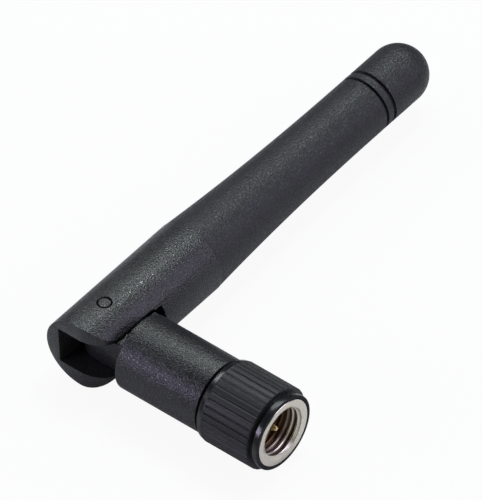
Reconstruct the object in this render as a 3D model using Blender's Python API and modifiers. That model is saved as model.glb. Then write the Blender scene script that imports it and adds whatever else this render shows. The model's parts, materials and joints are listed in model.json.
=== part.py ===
"""Swivel dipole antenna, folded to a right angle: a tapered whip on a fork hinge, and a coaxial plug."""
import math

import bmesh
import bpy
from mathutils import Matrix, Vector

for old in list(bpy.data.objects):
    bpy.data.objects.remove(old, do_unlink=True)

MM = 0.001

# Everything is placed from the hinge: its pin stands at x 0, y 0 and the cable runs at z 0.
# The plug points along +X and the folded whip along +Y.

# Clearances
FIT = 0.05 * MM  # between pieces that are pressed or glued together
RUN = 0.08 * MM  # radial, where one piece turns in another
SEAM = 0.20 * MM  # between mouldings that meet end to end
SWING = 0.25 * MM  # where the fork sweeps past the base
OVERCUT = 1.00 * MM  # how far a cutter passes the surface that it cuts

# Hinge
BARREL_R = 4.55 * MM  # fork and base have the same round section
FORK_REACH = 4.70 * MM  # from the pin to the end of the fork
SLOT_HEIGHT = 5.00 * MM
SLOT_BACK = 2.80 * MM  # from the pin to the closed side of the slot
SLOT_END = 5.00 * MM  # from the pin to the slot's end under the whip
TONGUE_GAP = 0.20 * MM  # above and below the tongue
TONGUE_BACK_GAP = 0.35 * MM
PIN_R = 0.78 * MM
PIN_SINK = 0.05 * MM  # the pin's end lies this far under the ear's crown
CABLE_WAY = 1.15 * MM  # half height and radius of the way for the cable
CABLE_BEND = 4.00 * MM  # radius of the cable's turn through the hinge
POCKET_WALL = 1.25 * MM  # tongue wall that stays beside the cable
POCKET_END_GAP = 0.55 * MM  # the pocket ends this far before the cable's turn does
TONGUE_ROOT = 1.00 * MM  # how deep the tongue goes into the barrel
CABLE_BORE_START = 1.00 * MM  # the base's bore opens into the pocket, this far from the pin
TONGUE_EDGE = 0.30 * MM
SLOT_EDGE = 0.25 * MM
KNUCKLE_EDGE = 0.12 * MM
PIN_EDGE = 0.10 * MM
PIN_CABLE_GAP = 0.30 * MM  # from a pin's inner end to the way for the cable

# Whip
KNUCKLE_END = 14.40 * MM  # from the pin to the seam with the sleeve
FLARE_LENGTH = 30.0 * MM
FLARE_POWER = 2.2
TIP_R = 3.53 * MM
TIP_ROOM = 0.65 * MM  # from the foam pad's foot to the centre of the round tip
LOWER_GROOVE_BACK = 5.98 * MM  # from the tip's centre back to each groove
UPPER_GROOVE_BACK = 4.73 * MM
GROOVE_WIDTH = 0.45 * MM
GROOVE_DEPTH = 0.20 * MM
BORE_R = 2.65 * MM  # inside of the sleeve round the dipole
SPIGOT_R = 3.45 * MM
SPIGOT_LENGTH = 4.60 * MM
SPIGOT_EDGE = 0.30 * MM
SPIGOT_ROOM = 0.40 * MM  # past the spigot's end in the sleeve
SLEEVE_EDGE = 0.10 * MM
BORE_TIP_BACK = 1.00 * MM  # from the tip's centre back to the centre of the bore's round end

# Plug and coupling
BASE_LENGTH = 11.47 * MM  # round part of the base, from its shoulder to the seam
BASE_EDGE = 0.25 * MM
SEAM_EDGE = 0.12 * MM
COLLAR_GAP = 0.30 * MM
COLLAR_LENGTH = 8.43 * MM
COLLAR_R = 5.00 * MM
COLLAR_REAR_R = 4.60 * MM
COLLAR_EDGE = 0.12 * MM
COLLAR_REAR_ROOM = 0.30 * MM  # round the body's flange
REAR_BEVEL = 0.85 * MM
REAR_BEVEL_KNEE = 0.30 * MM  # where the rear bevel bends, along the axis
REAR_BEVEL_DROP = 0.14 * MM  # and how far that lies inside the ribs
RIM_R = 4.55 * MM
RIM_LENGTH = 0.75 * MM
NECK_R = 4.32 * MM
NECK_LENGTH = 0.35 * MM
RIBS = 36
RIB_GROOVE = 0.17 * MM  # depth, and half width
RIB_RUN_OUT = 0.10 * MM  # the grooves run this far into the rear bevel
NUT_R = 4.08 * MM
NUT_PROUD = 0.05 * MM
NUT_EDGE = 0.12 * MM
NUT_REAR = 0.55 * MM  # from the collar's rear to the nut's
NUT_LIP_DEPTH = 1.10 * MM  # from the thread's end to the nut's inner lip
THREAD_RELIEF = 0.35 * MM  # undercut past the thread's end
THREAD_R = 2.90 * MM  # inside of the thread
MOUTH_R = 3.38 * MM
MOUTH_BEVEL = 0.30 * MM
THREAD_DEPTH = 4.30 * MM
MATING_DEPTH = 3.00 * MM  # nut's face to the body's front face
PIN_POINT_DEPTH = 0.95 * MM
CONTACT_R = 0.46 * MM
CONTACT_STEM_R = 0.63 * MM
PIN_TIP_R = 0.15 * MM
PIN_TAPER_R = 0.32 * MM
PIN_ROUND = 0.18 * MM  # length of the point's rounded end
PIN_TAPER = 0.50 * MM
CUP_BACK = 2.60 * MM  # from the tail's shoulder to the centre pin's solder cup
CUP_DEPTH = 1.70 * MM
FRONT_TUBE_R = 2.30 * MM
LAND_R = 2.70 * MM
LAND_PROUD = 0.10 * MM  # the land passes the nut's lip by this
TURNED_EDGE = 0.10 * MM
RING_WIRE_R = 0.28 * MM
RING_BACK = 1.10 * MM  # from the nut's lip to the retaining ring
RING_PLAY = 0.10 * MM
RING_GROOVE_DEPTH = 0.40 * MM  # in the body
RING_LIFT = 0.08 * MM  # between the ring and its groove's floor
NUT_GROOVE_DEPTH = 0.30 * MM
RING_OPENING = 14  # degrees each side of the ring's gap
FLANGE_R = 3.20 * MM
FLANGE_LENGTH = 1.60 * MM
STEM_R = 2.60 * MM
STEM_LENGTH = 5.87 * MM
STEM_GROOVE = 0.25 * MM
STEM_GROOVE_BACK = (1.60 * MM, 3.60 * MM)
TAIL_R = 1.00 * MM
TAIL_LENGTH = 2.40 * MM
TAIL_WALL = 1.00 * MM  # floor of the body behind the insulator's hollow
INSULATOR_R = 1.97 * MM
INSULATOR_BACK = 2.30 * MM  # from the solder cup to the insulator's rear
GASKET_LENGTH = 0.80 * MM
GASKET_GRIP = 0.15 * MM  # how far the gasket reaches into the thread's undercut
FERRULE_WALL = 0.33 * MM
FERRULE_PAST_TAIL = 0.60 * MM
FERRULE_ROOM = 1.00 * MM  # round the tail in the base
FERRULE_ROOM_LENGTH = 1.50 * MM

# Cable, from the inside out
CONDUCTOR_R = 0.15 * MM
DIELECTRIC_R = 0.42 * MM
BRAID_R = 0.63 * MM
BRAID_WALL = 0.15 * MM
JACKET_R = 0.90 * MM
JACKET_WALL = 0.22 * MM
JACKET_BACK = 0.80 * MM  # from the body's tail to the jacket's cut end
BELL_NARROW = 0.75 * MM  # where the braid starts to open behind the tail
BELL_WIDE = 0.15 * MM
JACKET_STRIP = 1.20 * MM  # from the jacket's other end to the tube's
CONDUCTOR_IN_CUP = 1.40 * MM
CONDUCTOR_PAST_BUSH = 1.30 * MM

# Dipole
TUBE_R = 2.20 * MM
TUBE_WALL = 0.25 * MM
TUBE_FOOT_GAP = 0.90 * MM  # above the end of the knuckle's spigot
TUBE_LENGTH = 17.5 * MM
TUBE_CAP = 0.40 * MM
SHRINK_WALL = 0.15 * MM
SHRINK_BACK = 0.50 * MM  # the shrink tube stops this far from the brass tube's ends
SOLDER_LENGTH = 1.05 * MM
SOLDER_SKIRT = 0.85 * MM
SOLDER_NECK = 0.35 * MM
SOLDER_TOP = 0.15 * MM
SOLDER_NECK_HEIGHT = 0.45 * MM
SOLDER_SKIRT_HEIGHT = 0.10 * MM
BUSH_LENGTH = 2.00 * MM
BUSH_EDGE = 0.20 * MM
BEAD_LENGTH = 1.15 * MM
BEAD_R = 0.55 * MM
BEAD_FOOT_R = 0.40 * MM
BEAD_TOP_R = 0.35 * MM
LEAD_LENGTH = 2.20 * MM  # from the bush to the coil's first turn
LEAD_STRAIGHT = 0.35 * MM
COIL_R = 1.70 * MM  # to the middle of its wire
COIL_WIRE_R = 0.25 * MM
COIL_TURNS = 5
COIL_PITCH = 1.30 * MM

# Places that follow from the sizes above
SHOULDER_X = FORK_REACH + SWING
BASE_END_X = SHOULDER_X + BASE_LENGTH
COLLAR_X = BASE_END_X + COLLAR_GAP
COLLAR_FACE_X = COLLAR_X + COLLAR_LENGTH
NUT_FACE_X = COLLAR_FACE_X + NUT_PROUD
RIB_END_X = COLLAR_FACE_X - RIM_LENGTH - NECK_LENGTH
MATING_X = NUT_FACE_X - MATING_DEPTH
THREAD_END_X = NUT_FACE_X - THREAD_DEPTH
LIP_X = THREAD_END_X - NUT_LIP_DEPTH  # front face of the nut's inner lip
LAND_X = LIP_X + LAND_PROUD  # shoulder that the gasket sits on
RING_X = LIP_X - RING_BACK
NUT_REAR_X = COLLAR_X + NUT_REAR
FLANGE_X = NUT_REAR_X - SEAM  # front of the flange that the nut turns against
FLANGE_SEAT_X = FLANGE_X - FLANGE_LENGTH
TAIL_X = FLANGE_SEAT_X - STEM_LENGTH  # where the body narrows to its crimp tail
TAIL_END_X = TAIL_X - TAIL_LENGTH
CUP_X = TAIL_X + CUP_BACK  # rear end of the centre pin
TONGUE_R = SLOT_BACK - TONGUE_BACK_GAP
TONGUE_HALF = SLOT_HEIGHT / 2 - TONGUE_GAP
SLEEVE_START = KNUCKLE_END + SEAM
SPIGOT_END = KNUCKLE_END + SPIGOT_LENGTH
TUBE_START = SPIGOT_END + TUBE_FOOT_GAP
TUBE_END = TUBE_START + TUBE_LENGTH
SOLDER_END = TUBE_END + FIT + SOLDER_LENGTH
BUSH_END = SOLDER_END + FIT + BUSH_LENGTH
COIL_START = BUSH_END + LEAD_LENGTH
COIL_END = COIL_START + COIL_TURNS * COIL_PITCH
PAD_START = COIL_END + COIL_WIRE_R + 3 * FIT
TIP_CENTRE = PAD_START + TIP_ROOM
TIP_END = TIP_CENTRE + TIP_R

# The axes lie a collar's radius above the ground, and the box's middle is at x 0, y 0
FRAME_PLACE = Vector((
    -(NUT_FACE_X - BARREL_R) / 2,
    -(TIP_END - COLLAR_R) / 2,
    COLLAR_R,
))

parts = bpy.data.collections.new("dipole_antenna")
tools = bpy.data.collections.new("cutters")
bpy.context.scene.collection.children.link(parts)
bpy.context.scene.collection.children.link(tools)

ALONG_X = Matrix.Rotation(math.radians(90), 4, "Y")
ALONG_Y = Matrix.Rotation(math.radians(-90), 4, "X")
UPRIGHT = Matrix.Identity(4)


def axis_empty(name, place, parent=None):
    empty = bpy.data.objects.new(name, None)
    empty.empty_display_size = 4 * MM
    empty.location = place
    empty.parent = parent
    parts.objects.link(empty)
    return empty


FRAME = axis_empty("antenna_frame", FRAME_PLACE)
WHIP_AXIS = axis_empty("whip_axis", (0, 0, 0), FRAME)
COUPLING_AXIS = axis_empty("coupling_axis", (0, 0, 0), FRAME)

FINISHES = {
    "black_plastic": ((0.012, 0.012, 0.014), 0.0, 0.48),
    "pin_plastic": ((0.014, 0.014, 0.016), 0.0, 0.42),
    "nickel": ((0.74, 0.72, 0.68), 1.0, 0.22),
    "gold": ((0.83, 0.60, 0.25), 1.0, 0.25),
    "brass": ((0.70, 0.52, 0.24), 1.0, 0.35),
    "steel": ((0.55, 0.55, 0.54), 1.0, 0.30),
    "copper": ((0.74, 0.38, 0.22), 1.0, 0.30),
    "tinned": ((0.66, 0.66, 0.65), 1.0, 0.45),
    "fluoropolymer": ((0.86, 0.85, 0.82), 0.0, 0.40),
    "silicone": ((0.50, 0.09, 0.04), 0.0, 0.55),
    "shrink": ((0.02, 0.02, 0.02), 0.0, 0.60),
    "jacket": ((0.30, 0.16, 0.09), 0.0, 0.40),
    "foam": ((0.25, 0.25, 0.26), 0.0, 0.95),
    "natural_plastic": ((0.80, 0.77, 0.68), 0.0, 0.50),
}


def give_material(obj, finish):
    colour, metallic, roughness = FINISHES[finish]
    material = bpy.data.materials.new(obj.name)
    material.use_nodes = True
    shader = material.node_tree.nodes["Principled BSDF"]
    shader.inputs["Base Color"].default_value = (*colour, 1)
    shader.inputs["Metallic"].default_value = metallic
    shader.inputs["Roughness"].default_value = roughness
    obj.data.materials.append(material)


def place(obj, finish, parent, turn=UPRIGHT):
    """A finished piece goes in the antenna's collection, and a cutter (no finish) among the tools."""
    obj.parent = parent
    obj.matrix_local = turn
    if finish:
        parts.objects.link(obj)
        give_material(obj, finish)
    else:
        tools.objects.link(obj)
        obj.hide_render = True
        obj.display_type = "WIRE"
    return obj


def turned(name, profile, turn, finish=None, parent=FRAME, steps=24, ring=False):
    """Turns (radius, height) points, given down the outer side. A ring's profile is closed."""
    mesh = bpy.data.meshes.new(name)
    count = len(profile)
    edges = [(i, i + 1) for i in range(count - 1)]
    if ring:
        edges.append((count - 1, 0))
    mesh.from_pydata([(r, 0, h) for r, h in profile], edges, [])
    obj = place(bpy.data.objects.new(name, mesh), finish, parent, turn)
    screw = obj.modifiers.new("Turn", "SCREW")
    screw.steps = steps
    screw.render_steps = steps
    screw.use_merge_vertices = True
    screw.merge_threshold = 0.000001
    return obj


def solid(name, make, finish=None, parent=FRAME, turn=UPRIGHT):
    """A piece whose mesh is filled by make(bm)."""
    bm = bmesh.new()
    make(bm)
    mesh = bpy.data.meshes.new(name)
    bm.to_mesh(mesh)
    bm.free()
    return place(bpy.data.objects.new(name, mesh), finish, parent, turn)


def rod(name, radius, low, high, turn=UPRIGHT, finish=None, parent=FRAME, steps=24):
    def make(bm):
        bmesh.ops.create_cone(
            bm, cap_ends=True, segments=steps, radius1=radius, radius2=radius,
            depth=high - low, matrix=Matrix.Translation((0, 0, (low + high) / 2)),
        )

    return solid(name, make, finish, parent, turn)


def block(name, low, high, finish=None, parent=FRAME):
    low, high = Vector(low), Vector(high)

    def make(bm):
        size = Matrix.Diagonal((*(high - low), 1))
        bmesh.ops.create_cube(bm, size=1, matrix=Matrix.Translation((low + high) / 2) @ size)

    return solid(name, make, finish, parent)


def boolean(obj, tool, operation="DIFFERENCE"):
    modifier = obj.modifiers.new(tool.name, "BOOLEAN")
    modifier.operation = operation
    modifier.solver = "EXACT"
    modifier.object = tool


def soften(obj, width, segments=2):
    bevel = obj.modifiers.new("Soft edges", "BEVEL")
    bevel.width = width
    bevel.segments = segments
    bevel.limit_method = "ANGLE"
    bevel.angle_limit = math.radians(50)


def arc(centre, radius, start, end, count):
    """Points on an arc in a plane, angles in degrees, both ends included."""
    turn = math.radians(end - start) / count
    first = math.radians(start)
    return [
        (centre[0] + radius * math.cos(first + turn * i), centre[1] + radius * math.sin(first + turn * i))
        for i in range(count + 1)
    ]


def as_mesh(obj):
    """Replaces a curve object by a mesh object of the same name and place."""
    bpy.context.view_layer.update()
    depsgraph = bpy.context.evaluated_depsgraph_get()
    mesh = bpy.data.meshes.new_from_object(obj.evaluated_get(depsgraph))
    bm = bmesh.new()
    bm.from_mesh(mesh)
    bmesh.ops.remove_doubles(bm, verts=bm.verts, dist=0.000001)
    bm.to_mesh(mesh)
    bm.free()
    name = obj.name
    obj.name = name + "_curve"
    made = bpy.data.objects.new(name, mesh)
    made.parent = obj.parent
    made.matrix_local = obj.matrix_local
    for collection in obj.users_collection:
        collection.objects.link(made)
    made.hide_render = obj.hide_render
    made.display_type = obj.display_type
    bpy.data.objects.remove(obj, do_unlink=True)
    return made


def slab(name, outline, half_thickness, finish=None, parent=FRAME):
    """A flat outline of (x, y) points, as thick as twice half_thickness."""
    curve = bpy.data.curves.new(name, "CURVE")
    curve.dimensions = "2D"
    curve.fill_mode = "BOTH"
    curve.extrude = half_thickness
    spline = curve.splines.new("POLY")
    spline.points.add(len(outline) - 1)
    for point, (x, y) in zip(spline.points, outline):
        point.co = (x, y, 0, 1)
    spline.use_cyclic_u = True
    return as_mesh(place(bpy.data.objects.new(name, curve), finish, parent))


def wire(name, points, radius, finish, parent=FRAME, sides=8, radii=None, wall=0.0, twist="Z_UP"):
    """A round wire, or with a wall an open tube, along points. radii widen it at single points."""
    curve = bpy.data.curves.new(name, "CURVE")
    curve.dimensions = "3D"
    curve.bevel_depth = radius
    curve.bevel_resolution = sides // 2 - 2
    curve.use_fill_caps = wall == 0.0
    curve.twist_mode = twist
    spline = curve.splines.new("POLY")
    spline.points.add(len(points) - 1)
    for i, (point, place_at) in enumerate(zip(spline.points, points)):
        point.co = (*place_at, 1)
        point.radius = radii[i] if radii else 1
    obj = place(bpy.data.objects.new(name, curve), finish, parent)
    if wall:
        shell = obj.modifiers.new("Wall", "SOLIDIFY")
        shell.thickness = wall
        shell.offset = -1
        shell.use_even_offset = True
    return obj


def whip_radius(y):
    """Outer radius of the sleeve: it flares from the slim tip to the knuckle."""
    along = min(1.0, max(0.0, (y - SLEEVE_START) / FLARE_LENGTH))
    return TIP_R + (BARREL_R - TIP_R) * (1 - along) ** FLARE_POWER


def make_base_housing():
    housing = turned("base_housing", [
        (0, BASE_END_X),
        (BARREL_R - SEAM_EDGE, BASE_END_X),
        (BARREL_R, BASE_END_X - SEAM_EDGE),
        (BARREL_R, SHOULDER_X + BASE_EDGE),
        (BARREL_R - BASE_EDGE, SHOULDER_X),
        (0, SHOULDER_X),
    ], ALONG_X, "black_plastic", steps=40)
    neck_end = SHOULDER_X + TONGUE_ROOT
    outline = arc((0, 0), TONGUE_R, 270, 90, 12) + [(neck_end, TONGUE_R), (neck_end, -TONGUE_R)]
    tongue = slab("tongue", outline, TONGUE_HALF)
    soften(tongue, TONGUE_EDGE)

    # The cable leaves the tongue sideways when folded and endways when straight
    pocket = block(
        "cable_pocket",
        (-TONGUE_R - OVERCUT, POCKET_WALL - TONGUE_R, -CABLE_WAY),
        (CABLE_BEND - POCKET_END_GAP, TONGUE_R + OVERCUT, CABLE_WAY),
    )
    boolean(tongue, pocket)
    pin_way = rod("tongue_pin_holes", PIN_R + RUN, -SLOT_HEIGHT, SLOT_HEIGHT)
    boolean(tongue, pin_way)
    boolean(housing, tongue, "UNION")

    ferrule_bore = TAIL_R + FERRULE_ROOM
    ferrule_bore_x = TAIL_END_X - FERRULE_ROOM_LENGTH
    bore = turned("base_bore", [
        (0, BASE_END_X + OVERCUT),
        (FLANGE_R + FIT, BASE_END_X + OVERCUT),
        (FLANGE_R + FIT, FLANGE_SEAT_X),
        (STEM_R + FIT, FLANGE_SEAT_X),
        (STEM_R + FIT, TAIL_X - FIT),
        (ferrule_bore, TAIL_X - FIT),
        (ferrule_bore, ferrule_bore_x),
        (CABLE_WAY, ferrule_bore_x),
        (CABLE_WAY, CABLE_BORE_START),
        (0, CABLE_BORE_START),
    ], ALONG_X, steps=24)
    boolean(housing, bore)


def make_whip_knuckle():
    knuckle = turned("whip_knuckle", [
        (0, SPIGOT_END),
        (SPIGOT_R - SPIGOT_EDGE, SPIGOT_END),
        (SPIGOT_R, SPIGOT_END - SPIGOT_EDGE),
        (SPIGOT_R, KNUCKLE_END),
        (BARREL_R - KNUCKLE_EDGE, KNUCKLE_END),
        (BARREL_R, KNUCKLE_END - KNUCKLE_EDGE),
        (BARREL_R, KNUCKLE_EDGE - FORK_REACH),
        (BARREL_R - KNUCKLE_EDGE, -FORK_REACH),
        (0, -FORK_REACH),
    ], ALONG_Y, "black_plastic", WHIP_AXIS, steps=40)

    # Only the side that sweeps past the shoulder is rounded. The other side stops the straight whip.
    far = FORK_REACH + OVERCUT
    sweep = block("fork_sweep", (0, -far, -far), (far, 0, far), parent=WHIP_AXIS)
    past = far + OVERCUT
    sweep_core = rod("fork_sweep_core", FORK_REACH, -past, past, parent=WHIP_AXIS, steps=72)
    boolean(sweep, sweep_core)
    boolean(knuckle, sweep)

    slot = block(
        "fork_slot",
        (-SLOT_BACK, -far, -SLOT_HEIGHT / 2),
        (far, SLOT_END, SLOT_HEIGHT / 2),
        parent=WHIP_AXIS,
    )
    soften(slot, SLOT_EDGE)
    boolean(knuckle, slot)
    bore_start = SLOT_END - OVERCUT
    cable_bore = rod("knuckle_bore", CABLE_WAY, bore_start, SPIGOT_END + OVERCUT, ALONG_Y, parent=WHIP_AXIS)
    boolean(knuckle, cable_bore)
    reach = BARREL_R + OVERCUT
    pin_holes = rod("ear_pin_holes", PIN_R + FIT, -reach, reach, parent=WHIP_AXIS)
    boolean(knuckle, pin_holes)


def make_hinge_pins():
    top = BARREL_R - PIN_SINK
    inner = CABLE_WAY + PIN_CABLE_GAP
    for name, side in (("hinge_pin_upper", 1), ("hinge_pin_lower", -1)):
        turned(name, [
            (0, top),
            (PIN_R - PIN_EDGE, top),
            (PIN_R, top - PIN_EDGE),
            (PIN_R, inner + PIN_EDGE),
            (PIN_R - PIN_EDGE, inner),
            (0, inner),
        ], UPRIGHT if side > 0 else Matrix.Rotation(math.pi, 4, "X"), "pin_plastic", WHIP_AXIS, steps=16)


def make_whip_sleeve():
    outer = arc((0, TIP_CENTRE), TIP_R, 90, 0, 6)
    for back in (UPPER_GROOVE_BACK, LOWER_GROOVE_BACK):
        middle = TIP_CENTRE - back
        high = middle + GROOVE_WIDTH / 2
        low = middle - GROOVE_WIDTH / 2
        slope = 0.3 * GROOVE_WIDTH
        outer += [
            (whip_radius(high), high),
            (whip_radius(high) - GROOVE_DEPTH, high - slope),
            (whip_radius(low) - GROOVE_DEPTH, low + slope),
            (whip_radius(low), low),
        ]
    rings = 7
    flare_top = SLEEVE_START + 0.85 * FLARE_LENGTH
    for i in range(rings):
        y = flare_top + (SLEEVE_START + SLEEVE_EDGE - flare_top) * i / (rings - 1)
        outer.append((whip_radius(y), y))
    outer.append((BARREL_R - SLEEVE_EDGE, SLEEVE_START))
    socket_r = SPIGOT_R + FIT
    socket_end = SPIGOT_END + SPIGOT_ROOM
    inner = [
        (socket_r, SLEEVE_START),
        (socket_r, socket_end),
        (BORE_R, socket_end + (socket_r - BORE_R)),
        *arc((0, TIP_CENTRE - BORE_TIP_BACK), BORE_R, 0, 90, 4),
    ]
    turned("whip_sleeve", outer + inner, ALONG_Y, "black_plastic", WHIP_AXIS, steps=40)


def make_collar():
    step = COLLAR_EDGE
    bore = NUT_R + FIT
    corner = 1 / math.cos(math.pi / RIBS)  # a rib's flat lies at the true radius, its corners just outside
    half_step = Matrix.Rotation(math.pi / RIBS, 4, "X")
    rear_bore = FLANGE_R + COLLAR_REAR_ROOM
    nut_seat_x = NUT_REAR_X - FIT
    profile = [
        (bore, COLLAR_FACE_X),
        (RIM_R - step, COLLAR_FACE_X),
        (RIM_R, COLLAR_FACE_X - step),
        (RIM_R, RIB_END_X + NECK_LENGTH + step / 2),
        (RIM_R - step / 2, RIB_END_X + NECK_LENGTH),
        (NECK_R, RIB_END_X + NECK_LENGTH),
        (NECK_R, RIB_END_X),
        (COLLAR_R - step, RIB_END_X),
        (COLLAR_R, RIB_END_X - step),
        (COLLAR_R, COLLAR_X + REAR_BEVEL),
        (COLLAR_R - REAR_BEVEL_DROP, COLLAR_X + REAR_BEVEL_KNEE),
        (COLLAR_REAR_R, COLLAR_X),
        (rear_bore, COLLAR_X),
        (rear_bore, nut_seat_x),
        (bore, nut_seat_x),
    ]
    profile = [(r * corner, x) for r, x in profile]
    turn = half_step @ ALONG_X
    collar = turned("ribbed_collar", profile, turn, "black_plastic", COUPLING_AXIS, steps=RIBS, ring=True)

    start = COLLAR_X + REAR_BEVEL - RIB_RUN_OUT
    end = RIB_END_X + NECK_LENGTH / 2

    def make(bm):
        lie = Matrix.Translation(((start + end) / 2, 0, 0)) @ ALONG_X
        for i in range(RIBS):
            spin = Matrix.Rotation(2 * math.pi * (i + 0.5) / RIBS, 4, "X")
            bmesh.ops.create_cone(
                bm, cap_ends=True, segments=4, radius1=RIB_GROOVE, radius2=RIB_GROOVE,
                depth=end - start, matrix=spin @ Matrix.Translation((0, 0, COLLAR_R * corner)) @ lie,
            )

    grooves = solid("rib_grooves", make, parent=COUPLING_AXIS)
    boolean(collar, grooves)


def make_nut():
    lip_r = LAND_R + RUN
    ring_room = RING_WIRE_R + RING_PLAY
    groove_r = lip_r + NUT_GROOVE_DEPTH
    relief_r = THREAD_R + THREAD_RELIEF
    turned("coupling_nut", [
        (MOUTH_R, NUT_FACE_X),
        (NUT_R - NUT_EDGE, NUT_FACE_X),
        (NUT_R, NUT_FACE_X - NUT_EDGE),
        (NUT_R, NUT_REAR_X + NUT_EDGE),
        (NUT_R - NUT_EDGE, NUT_REAR_X),
        (lip_r, NUT_REAR_X),
        (lip_r, RING_X - ring_room),
        (groove_r, RING_X - ring_room),
        (groove_r, RING_X + ring_room),
        (lip_r, RING_X + ring_room),
        (lip_r, LIP_X),
        (relief_r, LIP_X),
        (relief_r, THREAD_END_X),
        (THREAD_R, THREAD_END_X),
        (THREAD_R, NUT_FACE_X - MOUTH_BEVEL),
    ], ALONG_X, "nickel", COUPLING_AXIS, steps=36, ring=True)


def make_connector():
    edge = TURNED_EDGE
    ring_room = RING_WIRE_R + RING_PLAY
    ring_floor = LAND_R - RING_GROOVE_DEPTH
    bore = INSULATOR_R + FIT
    insulator_x = CUP_X + INSULATOR_BACK
    tail_bore = DIELECTRIC_R + 2 * FIT
    groove = STEM_GROOVE
    profile = [
        (bore, MATING_X),
        (FRONT_TUBE_R - edge, MATING_X),
        (FRONT_TUBE_R, MATING_X - edge),
        (FRONT_TUBE_R, LAND_X),
        (LAND_R, LAND_X),
        (LAND_R, RING_X + ring_room),
        (ring_floor, RING_X + ring_room),
        (ring_floor, RING_X - ring_room),
        (LAND_R, RING_X - ring_room),
        (LAND_R, FLANGE_X),
        (FLANGE_R, FLANGE_X),
        (FLANGE_R, FLANGE_SEAT_X + FIT),
        (STEM_R, FLANGE_SEAT_X + FIT),
    ]
    for back in STEM_GROOVE_BACK:
        middle = FLANGE_SEAT_X - back
        profile += [
            (STEM_R, middle + 2 * groove),
            (STEM_R - groove, middle + groove),
            (STEM_R - groove, middle - groove),
            (STEM_R, middle - 2 * groove),
        ]
    profile += [
        (STEM_R, TAIL_X + edge),
        (STEM_R - edge, TAIL_X),
        (TAIL_R, TAIL_X),
        (TAIL_R, TAIL_END_X),
        (tail_bore, TAIL_END_X),
        (tail_bore, TAIL_X + TAIL_WALL),
        (CONTACT_STEM_R * 2, TAIL_X + TAIL_WALL),
        (CONTACT_STEM_R * 2, insulator_x),
        (bore, insulator_x),
    ]
    turned("connector_body", profile, ALONG_X, "gold", steps=24, ring=True)

    pin_bore = CONTACT_STEM_R + FIT
    turned("connector_dielectric", [
        (pin_bore, MATING_X),
        (INSULATOR_R - edge, MATING_X),
        (INSULATOR_R, MATING_X - edge),
        (INSULATOR_R, insulator_x + FIT),
        (pin_bore, insulator_x + FIT),
    ], ALONG_X, "fluoropolymer", ring=True)

    cup_r = CONDUCTOR_R + FIT
    point = NUT_FACE_X - PIN_POINT_DEPTH
    turned("centre_pin", [
        (0, point),
        (PIN_TIP_R, point),
        (PIN_TAPER_R, point - PIN_ROUND),
        (CONTACT_R, point - PIN_TAPER),
        (CONTACT_R, MATING_X),
        (CONTACT_STEM_R, MATING_X),
        (CONTACT_STEM_R, CUP_X),
        (cup_r, CUP_X),
        (cup_r, CUP_X + CUP_DEPTH),
        (0, CUP_X + CUP_DEPTH),
    ], ALONG_X, "gold", steps=24)

    ring_r = ring_floor + RING_LIFT + RING_WIRE_R
    spring = [(RING_X, y, z) for y, z in arc((0, 0), ring_r, RING_OPENING, 360 - RING_OPENING, 20)]
    wire("retaining_ring", spring, RING_WIRE_R, "steel", sides=6, twist="MINIMUM")

    gasket_in = FRONT_TUBE_R + FIT
    gasket_out = THREAD_R + GASKET_GRIP
    gasket_x = LAND_X + FIT
    gasket_end = gasket_x + GASKET_LENGTH
    turned("sealing_gasket", [
        (gasket_in, gasket_end),
        (gasket_out - 2 * edge, gasket_end),
        (gasket_out, gasket_end - 2 * edge),
        (gasket_out, gasket_x + 2 * edge),
        (gasket_out - 2 * edge, gasket_x),
        (gasket_in, gasket_x),
    ], ALONG_X, "silicone", ring=True)

    ferrule_in = TAIL_R + FIT + BRAID_WALL + 2 * FIT
    ferrule_out = ferrule_in + FERRULE_WALL
    turned("crimp_ferrule", [
        (ferrule_in, TAIL_X - 6 * FIT),
        (ferrule_out, TAIL_X - 6 * FIT),
        (ferrule_out, TAIL_END_X - FERRULE_PAST_TAIL),
        (ferrule_in, TAIL_END_X - FERRULE_PAST_TAIL),
    ], ALONG_X, "nickel", ring=True, steps=24)


def cable_route(start_x, end_y):
    """From start_x on the plug's axis, round the bend at the hinge, to end_y on the whip's axis."""
    bend = arc((CABLE_BEND, CABLE_BEND), CABLE_BEND, 270, 180, 6)
    return [(start_x, 0, 0)] + [(x, y, 0) for x, y in bend] + [(0, end_y, 0)]


def make_cable():
    jacket_route = cable_route(TAIL_END_X - JACKET_BACK, TUBE_END - JACKET_STRIP)
    wire("coax_jacket", jacket_route, JACKET_R, "jacket", wall=JACKET_WALL, sides=12)

    # The braid opens like a bell over the crimp tail
    bell = TAIL_R + FIT + BRAID_WALL
    narrow_x = TAIL_END_X - BELL_NARROW
    wide_x = TAIL_END_X - BELL_WIDE
    route = cable_route(TAIL_X - 8 * FIT, SOLDER_END - 4 * FIT)
    route[1:1] = [(wide_x, 0, 0), (narrow_x, 0, 0)]
    radii = [bell / BRAID_R] * 2 + [1] * (len(route) - 2)
    wire("coax_braid", route, BRAID_R, "tinned", radii=radii, wall=BRAID_WALL, sides=12)

    core_wall = DIELECTRIC_R - CONDUCTOR_R - FIT
    core_route = cable_route(CUP_X - 6 * FIT, BUSH_END - 2 * FIT)
    wire("coax_dielectric", core_route, DIELECTRIC_R, "fluoropolymer", wall=core_wall)
    conductor_route = cable_route(CUP_X + CONDUCTOR_IN_CUP, BUSH_END + CONDUCTOR_PAST_BUSH)
    wire("coax_conductor", conductor_route, CONDUCTOR_R, "copper")


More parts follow.
